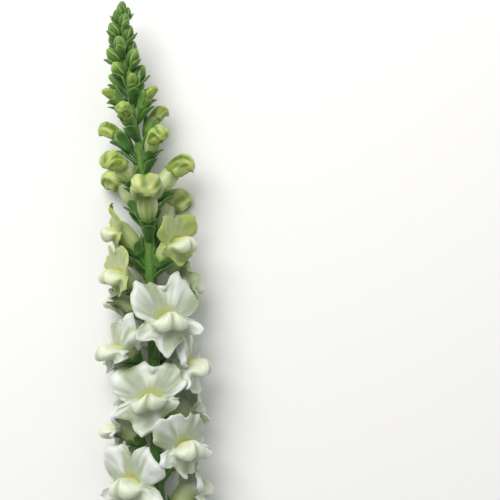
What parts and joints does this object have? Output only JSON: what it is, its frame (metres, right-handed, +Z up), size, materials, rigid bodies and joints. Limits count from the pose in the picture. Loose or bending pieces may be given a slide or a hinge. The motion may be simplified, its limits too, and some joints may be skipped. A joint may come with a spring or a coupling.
{
  "type": "snapdragon stem",
  "caption": "Cut snapdragon stem lying on a level surface: a long spike of white two-lipped blooms, closing to lime buds and green bud tips, over a leafy bare stalk.",
  "frame": {"origin": "on the surface the stem lies on, under the middle of its bounding box", "axes": "+Z up, away from the surface; +Y along the stem towards its tip, the cut end at -Y; +X across the stem, to the right when looked down on with the tip away from the viewer"},
  "size_m": [0.0998, 0.4522, 0.0514],
  "materials": {
    "stem_green": "matt, finely hairy green stem, bracts, calyxes and tip buds",
    "young_petal": "matt lime-green young petals",
    "white_petal": "soft matt white petals with a greenish tube and yellow throat",
    "leaf_green": "satin mid-green leaves"
  },
  "bodies": {
    "root": {"stem": "stem_green", "bud_16": "young_petal", "bud_17": "young_petal", "bud_18": "young_petal", "bud_19": "young_petal", "bud_20": "young_petal", "bud_21": "young_petal", "bud_22": "young_petal", "bud_23": "young_petal", "bud_24": "young_petal", "bud_25": "young_petal", "bud_26": "young_petal", "bud_27": "young_petal", "bud_28": "young_petal", "bud_29": "young_petal", "bud_30": "young_petal", "bud_31": "young_petal", "bloom_32": "white_petal", "bloom_33": "white_petal", "bloom_34": "white_petal", "bloom_35": "white_petal", "bloom_36": "white_petal", "bloom_37": "white_petal", "bloom_38": "white_petal", "bloom_39": "white_petal", "bloom_40": "white_petal", "bloom_41": "white_petal", "bloom_42": "white_petal", "bloom_43": "white_petal", "bloom_44": "white_petal", "bloom_45": "white_petal", "bloom_46": "white_petal", "bloom_47": "white_petal", "bloom_48": "white_petal", "bloom_49": "white_petal", "bloom_50": "white_petal", "leaf_01": "leaf_green", "leaf_02": "leaf_green", "leaf_03": "leaf_green", "leaf_04": "leaf_green", "leaf_05": "leaf_green", "leaf_06": "leaf_green", "leaf_07": "leaf_green", "leaf_08": "leaf_green", "leaf_09": "leaf_green"}
  },
  "joints": []
}
